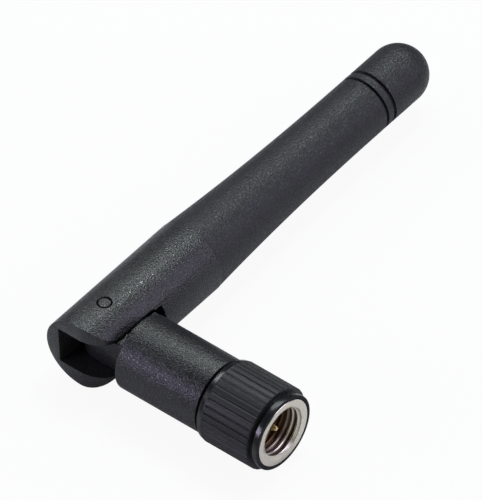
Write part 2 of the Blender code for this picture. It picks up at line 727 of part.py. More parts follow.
def make_dipole():
    cap_bore = BRAID_R + FIT
    turned("dipole_tube", [
        (cap_bore, TUBE_END),
        (TUBE_R, TUBE_END),
        (TUBE_R, TUBE_START),
        (TUBE_R - TUBE_WALL, TUBE_START),
        (TUBE_R - TUBE_WALL, TUBE_END - TUBE_CAP),
        (cap_bore, TUBE_END - TUBE_CAP),
    ], ALONG_Y, "brass", WHIP_AXIS, ring=True)
    shrink_in = TUBE_R + FIT
    turned("heat_shrink", [
        (shrink_in, TUBE_END - SHRINK_BACK),
        (shrink_in + SHRINK_WALL, TUBE_END - SHRINK_BACK),
        (shrink_in + SHRINK_WALL, TUBE_START + SHRINK_BACK),
        (shrink_in, TUBE_START + SHRINK_BACK),
    ], ALONG_Y, "shrink", WHIP_AXIS, ring=True)

    joint_foot = TUBE_END + FIT
    turned("braid_solder", [
        (cap_bore, SOLDER_END),
        (cap_bore + SOLDER_TOP, SOLDER_END),
        (cap_bore + SOLDER_NECK, joint_foot + SOLDER_NECK_HEIGHT),
        (cap_bore + SOLDER_SKIRT, joint_foot + SOLDER_SKIRT_HEIGHT),
        (cap_bore + SOLDER_SKIRT, joint_foot),
        (cap_bore, joint_foot),
    ], ALONG_Y, "tinned", WHIP_AXIS, ring=True, steps=24)

    core_bore = DIELECTRIC_R + FIT
    bush_start = SOLDER_END + FIT
    bush_r = BORE_R - 2 * FIT
    turned("feed_insulator", [
        (core_bore, BUSH_END),
        (bush_r - BUSH_EDGE, BUSH_END),
        (bush_r, BUSH_END - BUSH_EDGE),
        (bush_r, bush_start + BUSH_EDGE),
        (bush_r - BUSH_EDGE, bush_start),
        (core_bore, bush_start),
    ], ALONG_Y, "natural_plastic", WHIP_AXIS, ring=True)

    bead_in = CONDUCTOR_R + FIT
    bead_start = BUSH_END + FIT
    bead_end = bead_start + BEAD_LENGTH
    bead_middle = (bead_start + bead_end) / 2
    turned("feed_solder", [
        (bead_in, bead_end),
        (BEAD_TOP_R, bead_end),
        (BEAD_R, bead_middle),
        (BEAD_FOOT_R, bead_start),
        (bead_in, bead_start),
    ], ALONG_Y, "tinned", WHIP_AXIS, ring=True, steps=16)

    # A short lead rises from the solder, swings out to the coil's radius and climbs in even turns
    lead_start = bead_end + FIT + CONDUCTOR_R + FIT
    swing_start = lead_start + LEAD_STRAIGHT
    points = [(0, lead_start, 0), (0, swing_start, 0)]
    swing = 5
    per_turn = 10
    for i in range(1, swing):
        share = i / swing
        turn = math.pi / 2 * (share - 1)
        radius = COIL_R * share
        y = swing_start + (COIL_START - swing_start) * share
        points.append((radius * math.cos(turn), y, radius * math.sin(turn)))
    for i in range(COIL_TURNS * per_turn + 1):
        turn = 2 * math.pi * i / per_turn
        y = COIL_START + COIL_PITCH * i / per_turn
        points.append((COIL_R * math.cos(turn), y, COIL_R * math.sin(turn)))
    wire("radiating_coil", points, COIL_WIRE_R, "copper", WHIP_AXIS, sides=6, twist="MINIMUM")

    # The foam pad fills the round end of the bore: its side lies where it clears the dome at the pad's foot
    pad_r = BORE_R - 2 * FIT
    dome_centre = TIP_CENTRE - BORE_TIP_BACK
    foot_turn = math.degrees(math.asin((PAD_START - dome_centre) / pad_r))
    dome = arc((0, dome_centre), pad_r, 60, foot_turn, 4)
    profile = [(0, dome[0][1])] + dome + [(0, PAD_START)]
    turned("tip_pad", profile, ALONG_Y, "foam", WHIP_AXIS)


def shade(obj):
    """Round faces smooth, edges sharp."""
    bpy.context.view_layer.update()
    depsgraph = bpy.context.evaluated_depsgraph_get()
    mesh = bpy.data.meshes.new_from_object(obj.evaluated_get(depsgraph))
    mesh.shade_smooth()
    mesh.set_sharp_from_angle(angle=math.radians(30))
    obj.modifiers.clear()
    obj.data = mesh


make_base_housing()
make_whip_knuckle()
make_hinge_pins()
make_whip_sleeve()
make_collar()
make_nut()
make_connector()
make_cable()
make_dipole()
for piece in parts.objects:
    if piece.type == "MESH":
        shade(piece)
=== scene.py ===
import json
import math

import bmesh
import bpy
from mathutils import Matrix, Vector


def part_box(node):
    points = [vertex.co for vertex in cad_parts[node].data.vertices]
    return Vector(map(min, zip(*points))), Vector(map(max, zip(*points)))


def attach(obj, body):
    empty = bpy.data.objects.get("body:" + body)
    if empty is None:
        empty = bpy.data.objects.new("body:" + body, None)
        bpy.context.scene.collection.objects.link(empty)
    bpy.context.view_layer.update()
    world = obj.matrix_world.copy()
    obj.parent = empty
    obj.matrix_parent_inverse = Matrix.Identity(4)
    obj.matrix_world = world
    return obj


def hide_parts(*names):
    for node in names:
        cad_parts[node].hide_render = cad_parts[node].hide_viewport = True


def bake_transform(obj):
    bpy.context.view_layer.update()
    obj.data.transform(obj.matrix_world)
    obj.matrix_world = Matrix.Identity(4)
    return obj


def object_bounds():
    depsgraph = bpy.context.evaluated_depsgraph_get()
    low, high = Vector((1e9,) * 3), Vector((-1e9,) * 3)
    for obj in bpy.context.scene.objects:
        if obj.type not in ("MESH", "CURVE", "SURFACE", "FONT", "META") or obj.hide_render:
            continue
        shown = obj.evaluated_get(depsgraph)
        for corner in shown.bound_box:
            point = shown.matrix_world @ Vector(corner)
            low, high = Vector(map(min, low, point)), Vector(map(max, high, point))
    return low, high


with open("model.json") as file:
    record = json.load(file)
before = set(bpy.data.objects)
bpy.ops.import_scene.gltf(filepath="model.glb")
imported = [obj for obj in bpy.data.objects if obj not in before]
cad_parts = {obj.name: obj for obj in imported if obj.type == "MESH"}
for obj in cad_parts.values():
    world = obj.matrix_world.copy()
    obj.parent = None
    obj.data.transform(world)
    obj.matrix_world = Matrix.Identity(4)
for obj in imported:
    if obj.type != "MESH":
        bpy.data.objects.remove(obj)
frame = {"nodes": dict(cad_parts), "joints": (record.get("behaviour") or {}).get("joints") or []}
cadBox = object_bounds()
print("frame loaded")

mm = 0.001
hair = 0.0001  # mm, as good as nothing
joints = {joint["name"]: joint for joint in frame["joints"]}
hinge = Vector(joints["whip_tilt"]["pos_m"])
bpy.context.scene.view_settings.view_transform = "Standard"


def span(node, axis):  # lowest and highest place of a CAD node along an axis, from the hinge, in mm
    low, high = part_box(node)
    return (low[axis] - hinge[axis]) / mm, (high[axis] - hinge[axis]) / mm


# Camera, at the photo's angle on the hinge
cameraSet = {
    "azimuth": 42.05,  # degrees, as the next two
    "elevation": 45.44,
    "roll": -3.16,
    "distance": 1428.0,  # mm, as the next two
    "right": 14.716,  # how far the middle of the picture lies right of the hinge
    "up": 8.882,  # and how far above it
    "lens": 940.5,
}


def makeCamera():
    turn = math.radians(cameraSet["azimuth"])
    rise = math.radians(cameraSet["elevation"])
    roll = Matrix.Rotation(math.radians(cameraSet["roll"]), 3, "Z").to_quaternion()
    back = Vector((math.sin(turn) * math.cos(rise), -math.cos(turn) * math.cos(rise), math.sin(rise)))
    look = (-back).to_track_quat("-Z", "Y") @ roll
    camera = bpy.data.objects.new("camera", bpy.data.cameras.new("camera"))
    camera.data.lens = cameraSet["lens"]
    camera.rotation_mode = "QUATERNION"
    camera.rotation_quaternion = look
    aim = look @ Vector((cameraSet["right"], cameraSet["up"], 0)) * mm
    camera.location = hinge + aim + back * cameraSet["distance"] * mm
    bpy.context.scene.collection.objects.link(camera)
    bpy.context.scene.camera = camera


makeCamera()
print("camera placed")


# Node trees
class Term:  # a node's output, so that node maths reads as plain arithmetic
    def __init__(self, tree, socket=None):
        self.tree = tree
        self.socket = socket

    def node(self, kind, settings=None, values=None, output=0):
        made = self.tree.nodes.new(kind)
        for key, value in (settings or {}).items():
            setattr(made, key, value)
        for key, value in (values or {}).items():
            if isinstance(value, Term):
                self.tree.links.new(value.socket, made.inputs[key])
            else:
                made.inputs[key].default_value = value
        return Term(self.tree, made.outputs[output])

    def maths(self, operation, *values):
        return self.node("ShaderNodeMath", {"operation": operation}, dict(enumerate(values)))

    def __add__(self, other):
        return self.maths("ADD", self, other)

    __radd__ = __add__

    def __sub__(self, other):
        return self.maths("SUBTRACT", self, other)

    def __rsub__(self, other):
        return self.maths("SUBTRACT", other, self)

    def __mul__(self, other):
        return self.maths("MULTIPLY", self, other)

    __rmul__ = __mul__

    def __truediv__(self, other):
        return self.maths("DIVIDE", self, other)

    def __pow__(self, other):
        return self.maths("POWER", self, other)

    def __abs__(self):
        return self.maths("ABSOLUTE", self)

    def atLeast(self, other):
        return self.maths("MAXIMUM", self, other)

    def atMost(self, other):
        return self.maths("MINIMUM", self, other)

    def share(self):  # kept between 0 and 1
        return self.atLeast(0.0).atMost(1.0)

    def part(self, axis):  # "X", "Y" or "Z" of a vector
        return self.node("ShaderNodeSeparateXYZ", None, {0: self}, axis)


def fromHinge(place, axis):
    return place.part(axis) - hinge["XYZ".index(axis)]


def ramp(distance, run):  # 0 before a place and 1 after it, changing over a run in mm
    return (distance / (run * mm)).share()


def eased(share):  # slow at both ends, for plain numbers and node outputs alike
    return share * share * (3 - 2 * share)


def mixed(share, first, second):  # colours, each three numbers or a node's output
    first, second = (colour if isinstance(colour, Term) else (*colour, 1) for colour in (first, second))
    return share.node(
        "ShaderNodeMix", {"data_type": "RGBA"}, {"Factor": share, 6: first, 7: second}, "Result",
    )


# Materials
def makeMaterial(name, paint, metallic=0.0, gloss=0.5):
    made = bpy.data.materials.new(name)
    made.use_nodes = True
    tree = made.node_tree
    shader = tree.nodes["Principled BSDF"]
    shader.inputs["Metallic"].default_value = metallic
    shader.inputs["Specular IOR Level"].default_value = gloss
    place = Term(tree).node("ShaderNodeTexCoord", output="Object")
    for key, value in paint(place).items():
        if isinstance(value, Term):
            tree.links.new(value.socket, shader.inputs[key])
        else:
            shader.inputs[key].default_value = value
    return made


def grain(place, size, detail=2.0, stretch=None):  # even noise with spots of about this size in mm
    if stretch:
        place = place.node("ShaderNodeMapping", None, {"Vector": place, "Scale": stretch})
    return place.node(
        "ShaderNodeTexNoise", None, {"Vector": place, "Scale": 1 / (size * mm), "Detail": detail},
    )


cloudSet = {"start": 0.35, "contrast": 3.0}


def clouds(place, size, detail=2.0):  # broad patches, from 0 to 1
    return ((grain(place, size, detail) - cloudSet["start"]) * cloudSet["contrast"]).share()


def bump(height, depth):  # depth in mm
    return height.node("ShaderNodeBump", None, {"Height": height, "Distance": depth * mm, "Strength": 1.0})


sharpEdge = 0.01  # mm over which a finish changes at an edge
leastRoughness = 0.05


def mouldedPlastic(name, look):
    def paint(place):
        pits = ((grain(place, look["grain"], detail=1.0) - 0.5) * look["contrast"] + 0.5).share()
        colour = mixed(clouds(place, look["patch"], detail=1.0), look["colour"], look["tint"])
        colour = mixed(pits * look["crestShare"], colour, look["crest"])
        roughness = look["roughness"] + (0.5 - pits) * look["roughnessSpread"]
        height = pits
        if "smooth" in look:  # plain bands before and after these places along the plug
            x = fromHinge(place, "X")
            rear, front = look["smooth"]
            band = ramp(rear * mm - x, look["smoothEdge"]) + ramp(x - front * mm, look["smoothEdge"])
            matt = ramp(x - look["mattFrom"] * mm, sharpEdge)
            roughness = roughness - band * look["smoothBy"] + matt * look["mattBy"]
            height = pits * (1 - band * look["smoothFlat"])
        if "slot" in look:  # the fork's slot gets painted shade inside, and is duller
            x, y, z = (fromHinge(place, axis) for axis in "XYZ")
            back, end, half = look["slot"]
            inside = ramp(x + back * mm, sharpEdge) * ramp(end * mm - y, sharpEdge)
            inside = inside * ramp(half * mm - abs(z), sharpEdge)
            colour = mixed(inside, colour, look["slotPaintedShade"])
            roughness = roughness + inside * look["slotBy"]
        return {
            "Base Color": colour,
            "Roughness": roughness,
            "Normal": bump(height, look["depth"]),
        }

    return makeMaterial(name, paint, gloss=look["gloss"])


barrelLook = {
    "colour": (0.0078, 0.0086, 0.0088),
    "tint": (0.0095, 0.0090, 0.0120),
    "crest": (0.0110, 0.0120, 0.0128),  # lighter where the grain stands up
    "crestShare": 0.8,
    "gloss": 0.52,
    "roughness": 0.34,
    "roughnessSpread": 0.2,
    "grain": 0.19,
    "patch": 6.0,
    "contrast": 3.0,
    "depth": 0.032,
}
sleeveLook = {
    **barrelLook,
    "colour": (0.0088, 0.0092, 0.0112),
    "tint": (0.0105, 0.0098, 0.0145),
    "crest": (0.0115, 0.0122, 0.0142),
    "gloss": 0.45,
    "roughness": 0.45,
    "grain": 0.22,
    "depth": 0.044,
}
collarLook = {
    **barrelLook,
    "grain": 0.20,
    "depth": 0.015,
    "roughness": 0.50,
    "roughnessSpread": 0.1,
    "gloss": 0.42,
    "smooth": (17.55, 24.05),
    "smoothEdge": 0.05,
    "smoothBy": 0.30,
    "smoothFlat": 0.7,
    "mattFrom": span("ribbed_collar", 0)[1] - 0.03,  # the front face is dull
    "mattBy": 0.75,
}
barrelPlastic = mouldedPlastic("barrelPlastic", barrelLook)
sleevePlastic = mouldedPlastic("sleevePlastic", sleeveLook)
collarPlastic = mouldedPlastic("collarPlastic", collarLook)


def turnedMetal(name, look):  # plated or bare metal with fine lathe marks round an axis
    def paint(place):
        stretch = [look["markLength"]] * 3
        stretch[look["axis"]] = 1.0
        marks = grain(place, look["marks"], detail=3.0, stretch=stretch)
        colour = mixed(clouds(place, look["patch"]), look["colour"], look["tint"])
        roughness = look["roughness"] + (marks - 0.5) * look["roughnessSpread"]
        if "inside" in look:  # a bore gets painted shade, darker and browner with its depth
            x, y, z = (fromHinge(place, axis) for axis in "XYZ")
            out = (y * y + z * z) ** 0.5
            bore = ramp(look["insideR"] * mm - out, look["insideEdge"])
            depth = ramp(look["insideStart"] * mm - x, look["insideStart"] - look["insideFull"])
            if "rootR" in look:  # painted shade: a thread's roots are darkened nearer the mouth than its crests
                crest, root = look["rootR"]
                hollow = ramp(out - crest * mm, root - crest)
                depth = depth.atLeast(hollow * ramp(look["rootStart"] * mm - x, look["rootRun"]))
            colour = mixed(bore * depth, colour, look["inside"])
            roughness = roughness + bore * look["insideBy"]
        return {
            "Base Color": colour,
            "Roughness": roughness.atLeast(leastRoughness),
            "Normal": bump(marks, look["depth"]),
        }

    return makeMaterial(name, paint, metallic=1.0)


nickelLook = {
    "colour": (0.70, 0.655, 0.555),
    "tint": (0.76, 0.715, 0.625),
    "roughness": 0.24,
    "roughnessSpread": 0.15,
    "marks": 0.10,
    "markLength": 0.15,
    "patch": 2.0,
    "depth": 0.0015,
    "axis": 0,
}
goldLook = {
    **nickelLook,
    "colour": (0.70, 0.50, 0.22),
    "tint": (0.80, 0.60, 0.30),
    "roughness": 0.20,
}
metalLooks = {
    "nickelPlate": nickelLook,
    "nutNickel": {
        **nickelLook,
        # painted shade deep in the nut's bore and in its thread roots
        "inside": (0.10, 0.06, 0.035),
        "insideR": 3.37,
        "insideEdge": 0.1,
        "insideStart": 24.20,
        "insideFull": 23.20,
        "insideBy": 0.10,
        "rootR": (2.95, 3.12),
        "rootStart": 25.05,
        "rootRun": 0.35,
    },
    "goldPlate": goldLook,
    "dullGoldPaintedShade": {
        **goldLook,
        "roughness": 0.5,
        # painted shade on the body behind 17.8 mm, where it shows through the gap between base and collar
        "inside": (0.05, 0.035, 0.015),
        "insideR": 3.50,
        "insideEdge": 0.1,
        "insideStart": 17.80,
        "insideFull": 17.50,
        "insideBy": 0.0,
    },
    "bareBrass": {
        **nickelLook,
        "colour": (0.62, 0.45, 0.20),
        "tint": (0.70, 0.53, 0.26),
        "roughness": 0.35,
        "axis": 1,
    },
    "copperWire": {
        **nickelLook,
        "colour": (0.70, 0.34, 0.20),
        "tint": (0.78, 0.42, 0.27),
        "roughness": 0.30,
        "axis": 1,
    },
    "springSteel": {
        **nickelLook,
        "colour": (0.50, 0.50, 0.49),
        "tint": (0.58, 0.58, 0.57),
    },
    "solderJoint": {
        **nickelLook,
        "colour": (0.60, 0.60, 0.59),
        "tint": (0.70, 0.70, 0.69),
        "roughness": 0.42,
        "marks": 0.4,
        "markLength": 1.0,
        "depth": 0.02,
    },
    "tinnedBraid": {
        **nickelLook,
        "colour": (0.55, 0.55, 0.54),
        "tint": (0.68, 0.68, 0.67),
        "roughness": 0.4,
        "marks": 0.18,
        "markLength": 1.0,
        "depth": 0.03,
    },
}
metals = {name: turnedMetal(name, look) for name, look in metalLooks.items()}


plainSet = {"patch": 1.5, "roughnessSpread": 0.15}


def plainPlastic(name, colour, tint, roughness, grainSize, depth):  # unpainted plastic, rubber or foam
    def paint(place):
        fine = grain(place, grainSize)
        return {
            "Base Color": mixed(clouds(place, plainSet["patch"]), colour, tint),
            "Roughness": roughness + (fine - 0.5) * plainSet["roughnessSpread"],
            "Normal": bump(fine, depth),
        }

    return makeMaterial(name, paint)


plainLooks = {  # colour, tint, roughness, and the grain's size and depth
    "fluoropolymer": ((0.80, 0.79, 0.75), (0.87, 0.86, 0.83), 0.40, 0.15, 0.002),
    "siliconeRubber": ((0.42, 0.07, 0.03), (0.52, 0.10, 0.05), 0.55, 0.2, 0.003),
    "shrinkTube": ((0.018, 0.018, 0.018), (0.025, 0.025, 0.026), 0.6, 0.3, 0.01),
    "cableJacket": ((0.26, 0.13, 0.07), (0.33, 0.18, 0.10), 0.4, 0.2, 0.002),
    "foamPad": ((0.20, 0.20, 0.21), (0.30, 0.30, 0.31), 0.95, 0.12, 0.05),
    "naturalPlastic": ((0.76, 0.72, 0.62), (0.83, 0.80, 0.72), 0.5, 0.3, 0.003),
}
plastics = {name: plainPlastic(name, *look) for name, look in plainLooks.items()}
print("materials made")


# Meshes, worked out in mm from the hinge and kept in metres
largeSides, plainSides, smallSides, holeSides = 128, 96, 64, 48  # faces round a turned shape


def turnedMesh(name, profile, axis, sides=plainSides, closed=False):
    # profile: (radius, place) points down the outer side, with an optional rounding radius
    bm = bmesh.new()
    rings = []
    for radius, along in roundCorners(profile, closed):
        count = 1 if radius == 0 else sides
        ring = []
        for i in range(count):
            turn = 2 * math.pi * i / sides
            side, other = radius * math.sin(turn), radius * math.cos(turn)
            spot = {"x": (along, side, other), "y": (side, along, other), "z": (side, other, along)}[axis]
            ring.append(bm.verts.new(hinge + Vector(spot) * mm))
        rings.append(ring)
    pairs = list(zip(rings, rings[1:]))
    if closed:
        pairs.append((rings[-1], rings[0]))
    for upper, lower in pairs:
        for i in range(sides):
            j = (i + 1) % sides
            corners = [ring[k % len(ring)] for ring, k in ((upper, i), (upper, j), (lower, j), (lower, i))]
            bm.faces.new(list(dict.fromkeys(corners)))  # a triangle where a ring is one point
    bmesh.ops.recalc_face_normals(bm, faces=bm.faces)
    return finishedMesh(name, bm)


def finishedMesh(name, bm):
    mesh = bpy.data.meshes.new(name)
    bm.to_mesh(mesh)
    bm.free()
    return mesh


cornerSteps = 4
cornerReach = 0.45  # most of an edge that a rounding takes


def roundCorners(profile, closed):
    count = len(profile)
    points = []
    for i, (radius, along, *rounding) in enumerate(profile):
        inside = closed or 0 < i < count - 1
        if not rounding or not inside:
            points.append((radius, along))
            continue
        here = Vector((radius, along))
        before = Vector(profile[i - 1][:2]) - here
        after = Vector(profile[(i + 1) % count][:2]) - here
        half = before.angle(after) / 2
        reach = min(rounding[0] / math.tan(half), cornerReach * before.length, cornerReach * after.length)
        size = reach * math.tan(half)
        inward = (before.normalized() + after.normalized()).normalized()
        middle = here + inward * size / math.sin(half)
        start = (here + before.normalized() * reach - middle).normalized()
        end = (here + after.normalized() * reach - middle).normalized()
        for step in range(cornerSteps + 1):
            spot = middle + start.slerp(end, step / cornerSteps) * size
            points.append((spot.x, spot.y))
    return points


def newObject(name, mesh):
    obj = bpy.data.objects.new(name, mesh)
    bpy.context.scene.collection.objects.link(obj)
    return obj


def evaluatedMesh(obj):
    bpy.context.view_layer.update()
    return bpy.data.meshes.new_from_object(obj.evaluated_get(bpy.context.evaluated_depsgraph_get()))


def baked(obj, smoothAngle=35.0):  # the evaluated mesh takes the place of the object's modifiers
    mesh = evaluatedMesh(obj)
    obj.modifiers.clear()
    obj.data = mesh
    mesh.shade_smooth()
    mesh.set_sharp_from_angle(angle=math.radians(smoothAngle))
    return obj


def dress(obj, material):
    obj.data.materials.clear()
    obj.data.materials.append(material)


def settle(obj, material, body, slot, *nodes):
    dress(obj, material)
    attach(obj, body)
    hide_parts(*nodes)
    print(obj.name, "made,", len(obj.data.polygons), "faces")


def turnedPiece(name, profile, axis, material, body, slot, node, sides=plainSides, closed=False):
    obj = baked(newObject(name, turnedMesh(name, profile, axis, sides, closed)))
    settle(obj, material, body, slot, node)


def cut(obj, tool, operation="DIFFERENCE"):
    modifier = obj.modifiers.new(tool.name, "BOOLEAN")
    modifier.operation = operation
    modifier.solver = "EXACT"
    modifier.object = tool
    tool.hide_render = True
    tool.hide_viewport = True


def dropTools(*tools):
    for tool in tools:
        bpy.data.objects.remove(tool)


def roundEdges(obj, width, angle=40.0):
    modifier = obj.modifiers.new("Rounded edges", "BEVEL")
    modifier.width = width * mm
    modifier.segments = 3
    modifier.limit_method = "ANGLE"
    modifier.angle_limit = math.radians(angle)


def slabObject(name, outline, half):  # an outline of (x, y), reaching half above and below the hinge
    bm = bmesh.new()
    foot = [bm.verts.new(hinge + Vector((x, y, -half)) * mm) for x, y in outline]
    raised = bmesh.ops.extrude_face_region(bm, geom=[bm.faces.new(foot)])
    lifted = [item for item in raised["geom"] if isinstance(item, bmesh.types.BMVert)]
    bmesh.ops.translate(bm, verts=lifted, vec=Vector((0, 0, 2 * half)) * mm)
    bmesh.ops.recalc_face_normals(bm, faces=bm.faces)
    return newObject(name, finishedMesh(name, bm))


def arc(centre, radius, start, end, count):  # angles in degrees
    turns = [math.radians(start + (end - start) * i / count) for i in range(count + 1)]
    return [(centre[0] + radius * math.cos(turn), centre[1] + radius * math.sin(turn)) for turn in turns]


def rectangle(low, high):
    return [low, (high[0], low[1]), high, (low[0], high[1])]


def steppedRod(name, start, steps, axis, sides):  # a cutter of (radius, end) steps
    profile = [(0, start)]
    for radius, end in steps:
        profile += [(radius, profile[-1][1]), (radius, end)]
    profile.append((0, profile[-1][1]))
    return newObject(name, turnedMesh(name, profile, axis, sides))


barrelR = span("whip_knuckle", 2)[1]
clear = 1.0  # how far a cutter passes the end that it opens


# Base: a round barrel with the hinge's flat tongue
baseSet = {
    "shoulder": 4.95,
    "shoulderRound": 0.20,
    "seam": span("base_housing", 0)[1],
    "seamRound": 0.10,
    "tongueR": -span("base_housing", 0)[0],
    "tongueHalf": 2.30,  # half of its thickness
    "tongueEdge": 0.28,
    "tongueSink": 1.00,  # how deep it goes into the barrel
    "rootLow": (3.75, 2.00),  # the tongue widens before the shoulder
    "rootSide": 3.85,
    "rootSink": 0.50,
    "rootHalf": 2.38,
    "rootEdge": 0.12,
    "pinHole": 0.86,
    "cableWay": 1.15,  # half height and radius of the way for the cable
    "cableWayEnd": 1.00,
    "pocketWall": -1.20,
    "pocketEnd": 3.45,
    "cutReach": 4.0,
    "bores": ((3.25, 15.47), (2.65, 9.55), (2.00, 5.70)),  # radius and end, from the seam in
}


def makeBase():
    size = baseSet
    shoulder, seam, tongueR = size["shoulder"], size["seam"], size["tongueR"]
    base = newObject("baseHousing", turnedMesh("baseHousing", [
        (0, seam),
        (barrelR, seam, size["seamRound"]),
        (barrelR, shoulder, size["shoulderRound"]),
        (0, shoulder),
    ], "x", largeSides))
    sunk = shoulder + size["tongueSink"]
    outline = arc((0, 0), tongueR, 270, 90, count=32) + [(sunk, tongueR), (sunk, -tongueR)]
    tongue = slabObject("tongue", outline, size["tongueHalf"])
    roundEdges(tongue, size["tongueEdge"])
    rootHigh = (shoulder + size["rootSink"], size["rootSide"])
    root = slabObject("tongueRoot", rectangle(size["rootLow"], rootHigh), size["rootHalf"])
    roundEdges(root, size["rootEdge"])
    far = size["cutReach"]
    pocketOutline = rectangle((-far, size["pocketWall"]), (size["pocketEnd"], far))
    pocket = slabObject("pocket", pocketOutline, size["cableWay"])
    pinHole = steppedRod("pinHole", far, [(size["pinHole"], -far)], "z", holeSides)
    steps = [*size["bores"], (size["cableWay"], size["cableWayEnd"])]
    bore = steppedRod("bore", seam + clear, steps, "x", smallSides)
    cut(tongue, pocket)
    cut(tongue, pinHole)
    cut(base, tongue, "UNION")
    cut(base, root, "UNION")
    cut(base, bore)
    baked(base)
    dropTools(tongue, root, pocket, pinHole, bore)
    settle(base, barrelPlastic, "base", "black_plastic", "base_housing")


# Knuckle: the fork's two ears, its slot and the round part up to the sleeve
knuckleSet = {
    "seam": 14.40,
    "seamRound": 0.04,
    "spigotR": 3.45,
    "spigotRound": 0.25,
    "spigotFoot": 0.05,
    "slotBack": 2.80,
    "slotHalf": 2.50,
    "slotEnd": 5.00,
    "slotRound": 0.25,
    "earSide": 3.60,
    "earSideEnd": 3.60,
    "earSideRound": 0.40,
    "earCorner": 2.10,
    "edgeRound": 0.24,
    "pinHole": 0.82,
    "pinHoleBevel": 0.09,
    "pinHoleTop": 0.07,  # the bevel starts this far under the crown
    "pinHoleFoot": 0.24,  # and ends this far under it
    "bore": 1.15,
    "sweepHalf": 6.0,
    "sweepPast": 2.0,
    "slotReach": 7.0,
    "pinHoleReach": 5.0,
}
forkPlastic = mouldedPlastic("forkPlastic", {
    **barrelLook,
    # the slot's inner faces get painted shade and more roughness
    "slot": [knuckleSet[key] + 0.02 for key in ("slotBack", "slotEnd", "slotHalf")],
    "slotPaintedShade": (0.0030, 0.0030, 0.0034),
    "slotBy": 0.25,
})


def makeKnuckle():
    size = knuckleSet
    low, high = span("whip_knuckle", 1)
    knuckle = newObject("whipKnuckle", turnedMesh("whipKnuckle", [
        (0, high),
        (size["spigotR"], high, size["spigotRound"]),
        (size["spigotR"], size["seam"], size["spigotFoot"]),
        (barrelR, size["seam"], size["seamRound"]),
        (barrelR, low),
        (0, low),
    ], "y", largeSides))
    # The side that sweeps past the base's shoulder is rounded about the pin, the other side stays square
    reach = -low
    side, corner = size["earSide"], size["earCorner"]
    middle = (side - corner, -math.sqrt((reach - corner) ** 2 - (side - corner) ** 2))
    turn = math.degrees(math.atan2(middle[1], middle[0]))
    sideEnd, sideRound = size["earSideEnd"], size["earSideRound"]
    far = reach + size["sweepPast"]
    outline = arc((0, 0), reach, 270, 360 + turn, count=40)
    outline += arc(middle, corner, turn, 0, count=10)[1:]
    outline += arc((side + sideRound, sideEnd), sideRound, 180, 90, count=8)
    outline += [(far, sideEnd + sideRound), (far, -far), (0, -far)]
    sweep = slabObject("sweep", outline, size["sweepHalf"])
    slotLow, slotHigh = (-size["slotBack"], -size["slotReach"]), (size["slotReach"], size["slotEnd"])
    slot = slabObject("slot", rectangle(slotLow, slotHigh), size["slotHalf"])
    roundEdges(slot, size["slotRound"])
    bore = steppedRod("bore", high + clear, [(size["bore"], size["slotEnd"] - clear)], "y", holeSides)
    cut(knuckle, sweep)
    cut(knuckle, slot)
    cut(knuckle, bore)
    roundEdges(knuckle, size["edgeRound"], angle=45.0)
    pinR, mouthR = size["pinHole"], size["pinHole"] + size["pinHoleBevel"]
    top, foot = barrelR - size["pinHoleTop"], barrelR - size["pinHoleFoot"]
    end = size["pinHoleReach"]
    holes = newObject("pinHoles", turnedMesh("pinHoles", [
        (0, end), (mouthR, end), (mouthR, top), (pinR, foot),
        (pinR, -foot), (mouthR, -top), (mouthR, -end), (0, -end),
    ], "z", smallSides))
    cut(knuckle, holes)
    baked(knuckle)
    dropTools(sweep, slot, bore, holes)
    settle(knuckle, forkPlastic, "whip", "black_plastic", "whip_knuckle")


pinSet = {
    "radius": 0.76,
    "endR": 0.67,
    "endBevel": 0.20,
    "endRound": 0.03,
    "innerRound": 0.05,
}


def makePins():
    radius = pinSet["radius"]
    pins = ((1, "hingePinUpper", "hinge_pin_upper"), (-1, "hingePinLower", "hinge_pin_lower"))
    for side, piece, node in pins:
        inner, outer = span(node, 2)[::side]  # the lower pin's outer end is its low one
        turnedPiece(piece, [
            (0, outer),
            (pinSet["endR"], outer, pinSet["endRound"]),
            (radius, outer - side * pinSet["endBevel"]),
            (radius, inner, pinSet["innerRound"]),
            (0, inner),
        ], "z", barrelPlastic, "whip", "black_plastic", node, smallSides)


makeBase()
makeKnuckle()
makePins()


# Trees that make meshes
def newTree(name, inputs):
    tree = bpy.data.node_groups.new(name, "GeometryNodeTree")
    tree.is_modifier = True
    tree.interface.new_socket("Geometry", in_out="INPUT", socket_type="NodeSocketGeometry")
    tree.interface.new_socket("Geometry", in_out="OUTPUT", socket_type="NodeSocketGeometry")
    given = tree.nodes.new("NodeGroupInput")
    kinds = {float: "NodeSocketFloat", int: "NodeSocketInt", bpy.types.Material: "NodeSocketMaterial"}
    for key, value in inputs.items():
        tree.interface.new_socket(key, in_out="INPUT", socket_type=kinds[type(value)])
    return tree, {key: Term(tree, given.outputs[key]) for key in ("Geometry", *inputs)}


def runTree(obj, tree, inputs):
    modifier = obj.modifiers.new(tree.name, "NODES")
    modifier.node_group = tree
    for item in tree.interface.items_tree:
        if item.in_out == "INPUT" and item.name in inputs:
            modifier[item.identifier] = inputs[item.name]


def finishTree(tree, geometry, material, near=0.0005):  # points nearer than this, in mm, become one
    whole = geometry.node("GeometryNodeRealizeInstances", None, {"Geometry": geometry})
    merged = whole.node("GeometryNodeMergeByDistance", None, {"Geometry": whole, "Distance": near * mm})
    dressed = merged.node("GeometryNodeSetMaterial", None, {"Geometry": merged, "Material": material})
    out = tree.nodes.new("NodeGroupOutput")
    tree.links.new(dressed.socket, out.inputs["Geometry"])


